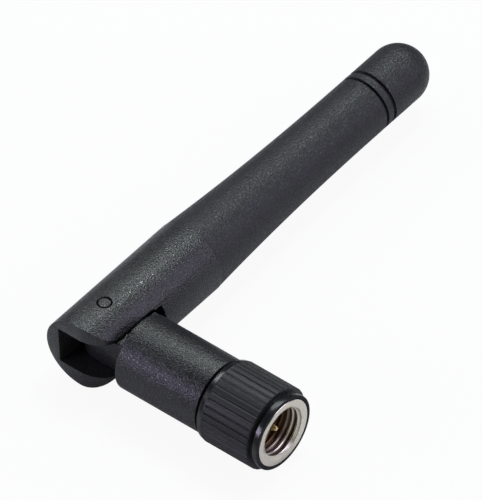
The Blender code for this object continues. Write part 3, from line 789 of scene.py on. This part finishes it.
# Sleeve: its radius follows one rule from the foot to the round tip
sleeveSet = {
    "flare": 30.0,
    "power": 2.2,
    "tipR": 3.53,
    "footEdge": 0.04,
    "footStep": 0.03,  # how much slimmer the sleeve is than the knuckle
    "jointGap": 0.005,
    "grooveBack": (5.98, 4.73),  # from the tip's centre
    "grooveHalf": (0.21, 0.25),
    "grooveDepth": 0.36,
    "grooveRows": (0, 0.375, 0.625, 0.75, 0.875, 0.95, 1.0, 1.125),  # in half widths from its middle
    "grooveClear": 0.2,  # no plain rows nearer to the grooves than this
    "firstRow": 0.5,
    "rowStep": 0.75,
    "tipClear": 0.3,
    "wall": 0.86,
    "sides": largeSides,
}


def sleeveRows(foot, centre):  # places of the sleeve's rings, closer where its radius changes fast
    size = sleeveSet
    grooves = [
        centre - back + half * row * way
        for back, half in zip(size["grooveBack"], size["grooveHalf"])
        for row in size["grooveRows"]
        for way in ((-1, 1) if row else (1,))
    ]
    low, high = min(grooves) - size["grooveClear"], max(grooves) + size["grooveClear"]
    count = int((centre - foot) / size["rowStep"])
    plain = [foot + size["firstRow"] + size["rowStep"] * i for i in range(count)]
    rows = [foot + size["footEdge"] * (1 - math.cos(math.radians(turn))) for turn in range(0, 91, 15)]
    rows += [y for y in plain if y < low or high < y < centre - size["tipClear"]]
    rows += grooves
    rows += [centre + size["tipR"] * math.sin(math.radians(turn)) for turn in range(0, 91, 3)]
    return sorted(rows)


def makeSleeve():
    size = sleeveSet
    foot = knuckleSet["seam"] + size["jointGap"]
    centre = span("whip_sleeve", 1)[1] - size["tipR"]
    inputs = {
        "Foot": foot * mm,
        "Foot radius": (barrelR - size["footStep"]) * mm,
        "Foot edge": size["footEdge"] * mm,
        "Tip centre": centre * mm,
        "Tip radius": size["tipR"] * mm,
        "Flare": size["flare"] * mm,
        "Power": size["power"],
        "Lower groove": (centre - size["grooveBack"][0]) * mm,
        "Upper groove": (centre - size["grooveBack"][1]) * mm,
        "Lower groove half": size["grooveHalf"][0] * mm,
        "Upper groove half": size["grooveHalf"][1] * mm,
        "Groove depth": size["grooveDepth"] * mm,
        "Sides": size["sides"],
        "Material": sleevePlastic,
    }
    tree, use = newTree("sleeveRule", inputs)
    line = use["Geometry"].node("GeometryNodeMeshToCurve", None, {"Mesh": use["Geometry"]})
    y = fromHinge(line.node("GeometryNodeInputPosition"), "Y")
    along = ((y - use["Foot"]) / use["Flare"]).share()
    radius = use["Tip radius"] + (use["Foot radius"] - use["Tip radius"]) * (1 - along) ** use["Power"]
    past = (y - use["Tip centre"]).atLeast(0.0)
    dome = (use["Tip radius"] * use["Tip radius"] - past * past).atLeast(0.0) ** 0.5
    radius = radius.atMost(dome + (1 - ramp(past, hair)))  # the dome counts only past the tip's centre
    for key in ("Lower groove", "Upper groove"):
        off = (y - use[key]) / use[key + " half"]
        depth = (1 - (off * off) ** 2).atLeast(0.0) ** 0.5
        radius = radius - depth * use["Groove depth"]
    start = 1 - ((y - use["Foot"]) / use["Foot edge"]).share()
    radius = radius - use["Foot edge"] * (1 - (1 - start * start).atLeast(0.0) ** 0.5)
    ring = line.node("GeometryNodeCurvePrimitiveCircle", None, {"Resolution": use["Sides"], "Radius": 1.0})
    skin = line.node(
        "GeometryNodeCurveToMesh", None, {"Curve": line, "Profile Curve": ring, "Scale": radius},
    )
    finishTree(tree, skin, use["Material"])

    rows = sleeveRows(foot, centre)
    mesh = bpy.data.meshes.new("whipSleeve")
    mesh.from_pydata([hinge + Vector((0, y, 0)) * mm for y in rows],
                     [(i, i + 1) for i in range(len(rows) - 1)], [])
    sleeve = newObject("whipSleeve", mesh)
    runTree(sleeve, tree, inputs)
    wall = sleeve.modifiers.new("Wall", "SOLIDIFY")
    wall.thickness = size["wall"] * mm
    wall.offset = -1
    baked(sleeve, smoothAngle=50)
    settle(sleeve, sleevePlastic, "whip", "sleeve_plastic", "whip_sleeve")


makeSleeve()


# Collar: one rib's share of the moulding, repeated round the axis
collarSet = {
    "ribs": 36,
    "ribR": span("ribbed_collar", 2)[1],
    "ribEnd": 24.05,
    "ribEndRound": 0.10,
    "rearR": 4.62,
    "rearEdge": 0.08,
    "rearBevel": 0.83,
    "rearKnee": 0.22,  # where the rear bevel bends, along the axis
    "rearFall": 0.15,  # and how far that lies inside the ribs
    "rearRound": 0.30,
    "neck": 0.35,
    "neckR": 4.32,
    "neckRound": 0.05,
    "rimR": 4.55,
    "rimRound": 0.10,
    "rimFoot": 0.06,
    "grooveHalf": 0.16,
    # Half of a groove: places in half widths from its middle, and how deep it is there in mm
    "groove": ((0, 0.1333), (0.12, 0.1333), (0.35, 0.10075), (0.6, 0.062), (0.8, 0.031), (1.0, 0.022),
               (1.15, 0.004), (1.3, 0.0)),
    "grooveStart": 0.02,  # past the rear bevel
    "grooveRunOut": 0.30,
    "runOutRows": (0.45, 0.30, 0.20, 0.10),  # past the rear bevel
    "crestRow": 0.35,  # beside a rib's middle, in half pitches
    "bore": 4.13,
    "boreRound": 0.03,
    "boreStep": 17.22,
    "rearBore": 3.50,
    "rearBoreRound": 0.04,
}


def collarProfile():
    size = collarSet
    rear, face = span("ribbed_collar", 0)
    ribR, rearTop = size["ribR"], rear + size["rearBevel"]
    neckEnd = size["ribEnd"] + size["neck"]
    return roundCorners([
        (size["bore"], face, size["boreRound"]),
        (size["rimR"], face, size["rimRound"]),
        (size["rimR"], neckEnd, size["rimFoot"]),
        (size["neckR"], neckEnd, size["neckRound"]),
        (size["neckR"], size["ribEnd"], size["neckRound"]),
        (ribR, size["ribEnd"], size["ribEndRound"]),
        *[(ribR, rearTop + step) for step in size["runOutRows"]],
        (ribR, rearTop, size["rearRound"]),
        (ribR - size["rearFall"], rear + size["rearKnee"], size["rearRound"]),
        (size["rearR"], rear, size["rearEdge"]),
        (size["rearBore"], rear, size["rearBoreRound"]),
        (size["rearBore"], size["boreStep"]),
        (size["bore"], size["boreStep"]),
    ], True)


def makeCollar():
    size = collarSet
    ribR = size["ribR"]
    grooveStart = span("ribbed_collar", 0)[0] + size["rearBevel"] + size["grooveStart"]
    halfPitch = math.pi / size["ribs"]
    half = size["grooveHalf"] / ribR
    side = [(halfPitch - half * place, dip) for place, dip in size["groove"]]
    side.append((halfPitch * size["crestRow"], 0.0))
    profile = collarProfile()
    bm = bmesh.new()
    rows = []
    for turn, dip in [(-turn, dip) for turn, dip in side] + [(0.0, 0.0)] + side[::-1]:
        row = []
        for radius, along in profile:
            fade = eased(min(1.0, max(0.0, (along - grooveStart) / size["grooveRunOut"])))
            if along <= size["ribEnd"] + hair:
                radius = min(radius, ribR - dip * fade)
            spot = Vector((along, radius * math.sin(turn), radius * math.cos(turn)))
            row.append(bm.verts.new(hinge + spot * mm))
        rows.append(row)
    for first, second in zip(rows, rows[1:]):
        for i in range(len(profile)):
            j = (i + 1) % len(profile)
            bm.faces.new((first[i], first[j], second[j], second[i]))

    inputs = {"Ribs": size["ribs"], "Material": collarPlastic}
    tree, use = newTree("ribsRound", inputs)
    points = use["Geometry"].node("GeometryNodePoints", None, {"Count": use["Ribs"], "Position": hinge})
    moved = points.node("GeometryNodeTransform", None, {"Geometry": use["Geometry"], "Translation": -hinge})
    turn = points.node("GeometryNodeInputIndex") / use["Ribs"] * (2 * math.pi)
    lie = turn.node("ShaderNodeCombineXYZ", None, {"X": turn})
    ribs = points.node(
        "GeometryNodeInstanceOnPoints", None, {"Points": points, "Instance": moved, "Rotation": lie},
    )
    finishTree(tree, ribs, use["Material"])
    collar = newObject("ribbedCollar", finishedMesh("ribbedCollar", bm))
    runTree(collar, tree, inputs)
    baked(collar, smoothAngle=40)
    settle(collar, collarPlastic, "coupling", "collar_plastic", "ribbed_collar")


makeCollar()


# Nut: a turned ring whose mouth holds a true thread
nutSet = {
    "edge": 0.13,
    "rearEdge": 0.12,
    "pitch": 0.7056,
    "threadTurn": 0.4375,  # where round the mouth the thread runs out, in turns
    "crestR": 2.90,
    "crestFlat": 0.25,  # share of half a pitch
    "rootR": 3.17,
    "flank": 0.60,  # share of half a pitch
    "flankRound": 0.35,
    "mouthR": 3.38,
    "mouthSlope": 2.0,  # radius lost in each mm of depth
    "reliefR": 3.25,
    "reliefSlope": 1.2,
    "threadEnd": 20.90,
    "join": 0.02,  # points of the ring and the thread nearer than this become one
    "lip": 19.80,
    "lipR": 2.78,
    "lipRound": 0.05,
    "sides": 144,
    "rowsPerTurn": 16,
}


def makeNut():
    size = nutSet
    rear, face = span("coupling_nut", 0)
    nutR = span("coupling_nut", 2)[1]
    outside = turnedMesh("couplingNut", [
        (size["mouthR"], face),
        (nutR, face, size["edge"]),
        (nutR, rear, size["rearEdge"]),
        (size["lipR"], rear, size["lipRound"]),
        (size["lipR"], size["lip"]),
        (size["reliefR"], size["lip"]),
        (size["reliefR"], size["threadEnd"]),
    ], "x", size["sides"])
    outside.flip_normals()
    inputs = {
        "Pitch": size["pitch"] * mm,
        "Thread turn": size["threadTurn"],
        "Crest radius": size["crestR"] * mm,
        "Crest flat": size["crestFlat"],
        "Root radius": size["rootR"] * mm,
        "Flank": size["flank"],
        "Flank round": size["flankRound"],
        "Mouth radius": size["mouthR"] * mm,
        "Mouth slope": size["mouthSlope"],
        "Relief radius": size["reliefR"] * mm,
        "Relief slope": size["reliefSlope"],
        "Thread end": size["threadEnd"] * mm,
        "Face": face * mm,
        "Sides": size["sides"],
        "Rows per turn": size["rowsPerTurn"],
        "Material": metals["nutNickel"],
    }
    turns = math.ceil((face - size["threadEnd"]) / size["pitch"]) + 1
    tree, use = newTree("threadRule", inputs)
    rows = use["Rows per turn"] * turns + 1
    grid = rows.node("GeometryNodeMeshGrid", None, {
        "Size X": 1.0, "Size Y": 1.0, "Vertices X": rows, "Vertices Y": use["Sides"] + 1})
    spot = grid.node("GeometryNodeInputPosition")
    steps = (spot.part("X") + 0.5) * turns
    around = spot.part("Y") + 0.5
    x = use["Thread end"] + use["Pitch"] * (steps - 1 + around)
    x = x.atLeast(use["Thread end"]).atMost(use["Face"])
    phase = (x - use["Thread end"]) / use["Pitch"] - around + 4.0 + use["Thread turn"]  # 4 keeps it above 0
    hill = abs(phase.maths("FRACT", phase) - 0.5) * 2
    flank = ((hill - use["Crest flat"]) / use["Flank"]).share()
    flank = eased(flank) * use["Flank round"] + flank * (1 - use["Flank round"])
    thread = use["Crest radius"] + (use["Root radius"] - use["Crest radius"]) * flank
    cone = use["Mouth radius"] - (use["Face"] - x) * use["Mouth slope"]
    relief = use["Relief radius"] - (x - use["Thread end"]) * use["Relief slope"]
    radius = thread.atLeast(cone).atLeast(relief)
    turn = around * (2 * math.pi)
    place = turn.node("ShaderNodeCombineXYZ", None, {
        "X": x + hinge.x,
        "Y": radius * turn.maths("SINE", turn) + hinge.y,
        "Z": radius * turn.maths("COSINE", turn) + hinge.z,
    })
    thread = grid.node("GeometryNodeSetPosition", None, {"Geometry": grid, "Position": place})
    both = thread.node("GeometryNodeJoinGeometry", None, {"Geometry": thread})
    tree.links.new(use["Geometry"].socket, both.socket.node.inputs["Geometry"])
    finishTree(tree, both, use["Material"], size["join"])
    nut = newObject("couplingNut", outside)
    runTree(nut, tree, inputs)
    baked(nut, smoothAngle=45)
    settle(nut, metals["nutNickel"], "coupling", "nickel_plate", "coupling_nut")


makeNut()


# Plug: turned body, insulator, contact and gasket inside the nut
matingX = span("connector_dielectric", 0)[1]
bodySet = {
    "frontR": 2.30,
    "frontRound": 0.08,
    "landR": 2.70,
    "land": 19.90,  # shoulder that the gasket sits on
    "landRound": 0.08,
    "ringGroove": (19.05, 18.35),
    "flangeR": 3.20,
    "flange": (17.07, 15.52),
    "stemR": 2.60,
    "stemGrooves": (13.87, 11.87),
    "stemGroove": 0.25,  # depth of each, and a quarter of its width
    "edge": 0.05,
    "tail": 9.60,
    "tailRound": 0.10,
    "tailR": 1.00,
    "tailEnd": 7.20,
    "cableR": 0.52,
    "hollow": 10.60,
    "hollowR": 1.26,
    "insulatorSeat": 14.50,
    "insulatorR": 2.02,
    "insulatorRound": 0.06,
}


def makeBody():
    size = bodySet
    frontR, landR, flangeR, stemR = size["frontR"], size["landR"], size["flangeR"], size["stemR"]
    edge, groove = size["edge"], size["stemGroove"]
    grooveFront, grooveRear = size["ringGroove"]
    flangeFront, flangeRear = size["flange"]
    profile = [
        (size["insulatorR"], matingX, size["insulatorRound"]),
        (frontR, matingX, size["frontRound"]),
        (frontR, size["land"], edge),
        (landR, size["land"], size["landRound"]),
        (landR, grooveFront),
        (frontR, grooveFront),
        (frontR, grooveRear),
        (landR, grooveRear),
        (landR, flangeFront),
        (flangeR, flangeFront, edge),
        (flangeR, flangeRear, edge),
        (stemR, flangeRear),
    ]
    for middle in size["stemGrooves"]:
        profile += [
            (stemR, middle + 2 * groove, edge),
            (stemR - groove, middle + groove, edge),
            (stemR - groove, middle - groove, edge),
            (stemR, middle - 2 * groove, edge),
        ]
    profile += [
        (stemR, size["tail"], size["tailRound"]),
        (size["tailR"], size["tail"]),
        (size["tailR"], size["tailEnd"], edge),
        (size["cableR"], size["tailEnd"]),
        (size["cableR"], size["hollow"]),
        (size["hollowR"], size["hollow"]),
        (size["hollowR"], size["insulatorSeat"]),
        (size["insulatorR"], size["insulatorSeat"]),
    ]
    turnedPiece("connectorBody", profile, "x", metals["dullGoldPaintedShade"], "base", "gold_plate", "connector_body",
                closed=True)


insulatorSet = {
    "radius": 1.97,
    "hole": 0.68,
    "rear": 14.55,
    "frontRound": 0.06,
    "holeRound": 0.03,
    "edge": 0.05,
}


def makeInsulator():
    size = insulatorSet
    turnedPiece("connectorDielectric", [
        (size["hole"], matingX, size["holeRound"]),
        (size["radius"], matingX, size["frontRound"]),
        (size["radius"], size["rear"], size["edge"]),
        (size["hole"], size["rear"], size["edge"]),
    ], "x", plastics["fluoropolymer"], "base", "fluoropolymer", "connector_dielectric", closed=True)


contactSet = {
    "radius": 0.46,
    "pointR": 0.20,
    "pointRound": 0.10,
    "taper": 0.52,
    "taperRound": 0.30,
    "stemR": 0.63,
    "edge": 0.03,
    "stemEdge": 0.05,
    "cupR": 0.20,
    "cupDepth": 1.70,
}


def makeContact():
    size = contactSet
    cup, point = span("centre_pin", 0)
    turnedPiece("centrePin", [
        (0, point),
        (size["pointR"], point, size["pointRound"]),
        (size["radius"], point - size["taper"], size["taperRound"]),
        (size["radius"], matingX, size["edge"]),
        (size["stemR"], matingX, size["edge"]),
        (size["stemR"], cup, size["stemEdge"]),
        (size["cupR"], cup, size["edge"]),
        (size["cupR"], cup + size["cupDepth"]),
        (0, cup + size["cupDepth"]),
    ], "x", metals["goldPlate"], "base", "gold_plate", "centre_pin", smallSides)


gasketSet = {
    "innerR": 2.35,
    "outerR": 3.05,
    "innerRound": 0.12,
    "outerRound": 0.20,
}


def makeGasket():
    size = gasketSet
    low, high = span("sealing_gasket", 0)
    turnedPiece("sealingGasket", [
        (size["innerR"], high, size["innerRound"]),
        (size["outerR"], high, size["outerRound"]),
        (size["outerR"], low, size["outerRound"]),
        (size["innerR"], low, size["innerRound"]),
    ], "x", plastics["siliconeRubber"], "base", "silicone", "sealing_gasket", closed=True)


makeBody()
makeInsulator()
makeContact()
makeGasket()


# Cable: four layers on one route that bends through the hinge
cableSet = {
    "bend": 4.0,
    "straight": 1.0,  # plain run that the bend adds at each end
    "sides": 24,
    "bendSteps": 28,
    "bell": ((7.05, 1.905), (6.45, 1.0)),  # the braid's place and width as it opens over the crimp tail
}
cableLayers = {  # CAD node, slot, radius, wall and material
    "coaxJacket": ("coax_jacket", "cable_jacket", 0.90, 0.22, plastics["cableJacket"]),
    "coaxBraid": ("coax_braid", "tinned_braid", 0.63, 0.15, metals["tinnedBraid"]),
    "coaxDielectric": ("coax_dielectric", "fluoropolymer", 0.42, 0.22, plastics["fluoropolymer"]),
    "coaxConductor": ("coax_conductor", "copper_wire", 0.15, 0.0, metals["copperWire"]),
}


def cableRoute(node):
    bend, straight = cableSet["bend"], cableSet["bend"] + cableSet["straight"]
    turn = arc((bend, bend), bend, 270, 180, cableSet["bendSteps"])
    flat = [(span(node, 0)[1], 0), (straight, 0), *turn, (0, straight), (0, span(node, 1)[1])]
    return [(x, y, 1.0) for x, y in flat]  # with a width of 1


def tubeMesh(name, route, radius, capped):
    curve = bpy.data.curves.new(name, "CURVE")
    curve.dimensions = "3D"
    curve.bevel_depth = radius * mm
    curve.bevel_resolution = cableSet["sides"] // 2 - 2  # makes that many sides
    curve.use_fill_caps = capped
    curve.twist_mode = "Z_UP"
    spline = curve.splines.new("POLY")
    spline.points.add(len(route) - 1)
    for point, (x, y, width) in zip(spline.points, route):
        point.co = (*(hinge + Vector((x, y, 0)) * mm), 1)
        point.radius = width
    obj = newObject(name, curve)
    bm = bmesh.new()
    bm.from_mesh(evaluatedMesh(obj))
    bpy.data.objects.remove(obj)
    bmesh.ops.remove_doubles(bm, verts=bm.verts, dist=hair * mm)
    return finishedMesh(name, bm)


def makeCable():
    for piece, (node, slot, radius, wall, material) in cableLayers.items():
        route = cableRoute(node)
        if piece == "coaxBraid":
            (wideX, wide), (narrowX, narrow) = cableSet["bell"]
            route[:1] = [(route[0][0], 0, wide), (wideX, 0, wide), (narrowX, 0, narrow)]
        tube = newObject(piece, tubeMesh(piece, route, radius, wall == 0))
        if wall:
            shell = tube.modifiers.new("Wall", "SOLIDIFY")
            shell.thickness = wall * mm
            shell.offset = -1
        baked(tube)
        dress(tube, material)
        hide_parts(node)
        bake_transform(tube)
        print(piece, "made,", len(tube.data.polygons), "faces")


makeCable()


# Hidden pieces keep their CAD shape
carriedOver = {
    "retaining_ring": (metals["springSteel"], "spring_steel"),
    "crimp_ferrule": (metals["nickelPlate"], "nickel_plate"),
    "dipole_tube": (metals["bareBrass"], "bare_brass"),
    "radiating_coil": (metals["copperWire"], "copper_wire"),
    "braid_solder": (metals["solderJoint"], "solder"),
    "feed_solder": (metals["solderJoint"], "solder"),
    "feed_insulator": (plastics["naturalPlastic"], "natural_plastic"),
    "heat_shrink": (plastics["shrinkTube"], "shrink_tube"),
    "tip_pad": (plastics["foamPad"], "foam"),
}
for node, (material, slot) in carriedOver.items():
    obj = frame["nodes"][node]
    dress(obj, material)
print("hidden pieces finished")


# Floor, light and background
studioSet = {
    "floorSize": 4.0,
    "floorColour": (0.70, 0.70, 0.70),
    "floorRoughness": 0.9,
    "farColour": (0.15, 0.15, 0.15),  # what reflections show of the floor out of the lamps' reach
    "farStart": 0.035,
    "farRun": 0.025,
    "glow": 0.93,
    "glossyGlow": 0.10,  # less in reflections, so that they keep the object's shadow
    "world": 0.07,
    "sky": 0.06,  # the backdrop is white up to the horizon and falls to this above it
    "horizon": 0.02,
    "lampDistance": 0.6,
}
lampSet = {
    "top": {"from": (-0.33, 0.38, 0.84), "size": (0.46, 0.28), "power": 1.65, "colour": (0.90, 1.0, 0.99)},
    "spark": {"from": (-0.03, 0.46, 0.89), "size": (0.08, 0.16), "power": 1.1, "colour": (0.93, 1.0, 1.0)},
    "edge": {"from": (-0.786, 0.144, 0.602), "size": (0.24, 0.07), "power": 0.5, "colour": (0.93, 1.0, 1.0)},
    "low": {"from": (-0.805, -0.504, 0.313), "size": (0.2, 0.12), "power": 0.1, "colour": (0.93, 0.93, 1.0)},
    "right": {"from": (0.69, 0.43, 0.50), "size": (0.50, 0.38), "power": 1.9, "colour": (0.82, 0.77, 1.0)},
    "front": {"from": (-0.47, -0.82, 0.34), "size": (0.26, 0.18), "power": 1.4, "colour": (0.80, 0.74, 1.0)},
    "card": {"from": (0.80, -0.56, 0.19), "size": (0.36, 0.20), "power": 0.25, "colour": (1.0, 1.0, 1.0)},
}


def seenDirectly(tree, camera, glossy):  # one share for the camera, one for what metal and glass show
    seen, shiny, through = (
        Term(tree).node("ShaderNodeLightPath", output=key)
        for key in ("Is Camera Ray", "Is Glossy Ray", "Is Transmission Ray")
    )
    return (seen * camera).atLeast(shiny.atLeast(through) * glossy)


def makeFloor():
    bm = bmesh.new()
    bmesh.ops.create_grid(bm, x_segments=1, y_segments=1, size=studioSet["floorSize"] / 2)
    floor = newObject("floor", finishedMesh("floor", bm))
    paint = bpy.data.materials.new("floorPaint")
    paint.use_nodes = True
    tree = paint.node_tree
    matt = tree.nodes["Principled BSDF"]
    spot = Term(tree).node("ShaderNodeNewGeometry")
    distance = spot.node("ShaderNodeVectorMath", {"operation": "LENGTH"}, {0: spot}, "Value")
    far = ((distance - studioSet["farStart"]) / studioSet["farRun"]).share() * seenDirectly(tree, 0.0, 1.0)
    colour = mixed(far, studioSet["floorColour"], studioSet["farColour"])
    tree.links.new(colour.socket, matt.inputs["Base Color"])
    matt.inputs["Roughness"].default_value = studioSet["floorRoughness"]
    matt.inputs["Specular IOR Level"].default_value = 0.0
    glow = Term(tree).node("ShaderNodeEmission", None, {"Strength": 1.0})
    share = seenDirectly(tree, studioSet["glow"], studioSet["glossyGlow"])
    both = share.node("ShaderNodeMixShader", None, {0: share, 1: Term(tree, matt.outputs[0]), 2: glow})
    tree.links.new(both.socket, tree.nodes["Material Output"].inputs["Surface"])
    floor.data.materials.append(paint)


def makeBackdrop():
    world = bpy.data.worlds.new("studio")
    bpy.context.scene.world = world
    world.use_nodes = True
    tree = world.node_tree
    backdrop = tree.nodes["Background"]
    backdrop.inputs["Color"].default_value = (1, 1, 1, 1)
    height = Term(tree).node("ShaderNodeTexCoord", output="Generated").part("Z")
    shown = 1 - (height / studioSet["horizon"]).share() * (1 - studioSet["sky"])
    strength = studioSet["world"] + seenDirectly(tree, 1.0, 1.0) * (shown - studioSet["world"])
    tree.links.new(strength.socket, backdrop.inputs["Strength"])


def makeLamps():
    aim = sum(cadBox, Vector()) / 2
    for name, lamp in lampSet.items():
        light = bpy.data.lights.new(name, "AREA")
        light.shape = "RECTANGLE"
        light.size, light.size_y = lamp["size"]
        light.energy = lamp["power"]
        light.color = lamp["colour"]
        obj = newObject(name, light)
        direction = Vector(lamp["from"]).normalized()
        obj.location = aim + direction * studioSet["lampDistance"]
        obj.rotation_mode = "QUATERNION"
        obj.rotation_quaternion = direction.to_track_quat("Z", "Y")


makeFloor()
makeBackdrop()
makeLamps()
print("studio made")
